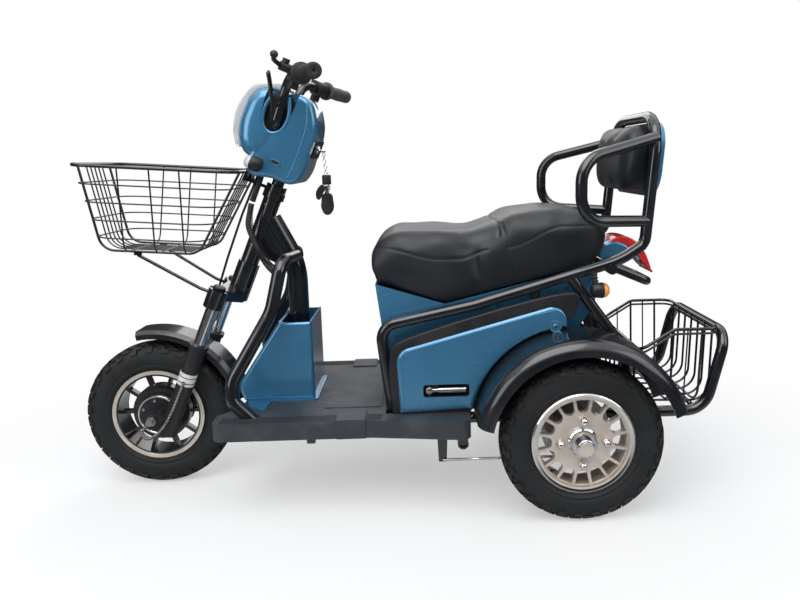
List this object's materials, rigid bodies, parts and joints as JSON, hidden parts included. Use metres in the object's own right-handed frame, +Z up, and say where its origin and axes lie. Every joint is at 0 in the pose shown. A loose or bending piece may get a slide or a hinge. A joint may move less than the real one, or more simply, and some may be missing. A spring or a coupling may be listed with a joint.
{
  "type": "electric mobility tricycle",
  "caption": "Step-through electric mobility tricycle with a hub-motor front wheel, padded seat with backrest and armrests, footboard and wire baskets front and rear.",
  "frame": {"origin": "on the ground below the middle of the whole machine's bounding box", "axes": "+X forward (direction of travel), +Y to the rider's left, +Z up"},
  "size_m": [1.596, 0.636, 1.0367],
  "materials": {
    "blue_paint": "gloss metallic",
    "black_tube": "gloss",
    "black_plastic": "satin",
    "fender_plastic": "gloss",
    "seat_vinyl": "satin",
    "deck_rubber": "matt",
    "tyre": "matt",
    "alloy": "machined",
    "chrome": "polished",
    "steel": "zinc plated",
    "motor_black": "satin",
    "grip_rubber": "matt",
    "clear_lens": "clear",
    "amber_lens": "gloss",
    "red_lens": "gloss",
    "battery_case": "matt"
  },
  "bodies": {
    "frame": {"back_pad": "seat_vinyl", "back_plate": "blue_paint", "battery": "battery_case", "brake_plates": "steel", "brake_rods": "steel", "deck_mat": "deck_rubber", "fender_left": "fender_plastic", "fender_right": "fender_plastic", "floor_frame": "black_tube", "frame_cable": "black_plastic", "head_frame": "black_tube", "knee_box": "blue_paint", "peg_trays": "black_plastic", "rear_axle": "steel", "rear_basket": "black_tube", "rear_indicator_lenses": "amber_lens", "rear_indicators": "black_plastic", "seat_frame": "black_tube", "seat_tub": "blue_paint", "side_panel_left": "blue_paint", "side_panel_right": "blue_paint", "tail_fairing": "blue_paint", "tail_lamp": "red_lens"},
    "steering": {"fork_crown": "black_tube", "fork_tubes": "chrome", "fork_sliders": "black_plastic", "front_axle": "steel", "mudguard": "fender_plastic", "handlebar": "black_tube", "grips": "grip_rubber", "brake_levers": "black_plastic", "switch_pods": "black_plastic", "head_housing": "blue_paint", "headlamp_lens": "clear_lens", "front_indicators": "black_plastic", "front_indicator_lenses": "clear_lens", "front_basket": "black_tube", "basket_mount": "black_tube", "key_fob": "black_plastic", "head_cables": "black_plastic", "dash_panel": "black_plastic"},
    "front_wheel": {"tyre_front": "tyre", "rim_front": "alloy", "hub_motor": "motor_black"},
    "rear_wheel_left": {"tyre_left": "tyre", "rim_left": "alloy", "hub_cap_left": "chrome"},
    "rear_wheel_right": {"tyre_right": "tyre", "rim_right": "alloy", "hub_cap_right": "chrome"},
    "seat_lid": {"seat": "seat_vinyl"},
    "peg_left": {"footpeg_left": "steel"},
    "peg_right": {"footpeg_right": "steel"}
  },
  "joints": [
    {"name": "steer", "type": "hinge", "parent": "frame", "child": "steering", "pos_m": [0.33021, 0, 0.6516], "axis": [-0.3907, 0, 0.9205], "range_deg": [-35, 35]},
    {"name": "front_wheel_spin", "type": "hinge", "parent": "steering", "child": "front_wheel", "pos_m": [0.613, 0, 0.185], "axis": [0, 1, 0], "continuous": true},
    {"name": "rear_wheel_left_spin", "type": "hinge", "parent": "frame", "child": "rear_wheel_left", "pos_m": [-0.417, 0.258, 0.185], "axis": [0, 1, 0], "continuous": true},
    {"name": "rear_wheel_right_spin", "type": "hinge", "parent": "frame", "child": "rear_wheel_right", "pos_m": [-0.417, -0.258, 0.185], "axis": [0, 1, 0], "continuous": true},
    {"name": "seat_lid_hinge", "type": "hinge", "parent": "frame", "child": "seat_lid", "pos_m": [0.041, 0, 0.53], "axis": [0, 1, 0], "range_deg": [0, 60]},
    {"name": "footpeg_left_fold", "type": "hinge", "parent": "frame", "child": "peg_left", "pos_m": [-0.079, 0.199, 0.287], "axis": [0, 0, -1], "range_deg": [0, 90]},
    {"name": "footpeg_right_fold", "type": "hinge", "parent": "frame", "child": "peg_right", "pos_m": [-0.079, -0.199, 0.287], "axis": [0, 0, 1], "range_deg": [0, 90]}
  ]
}
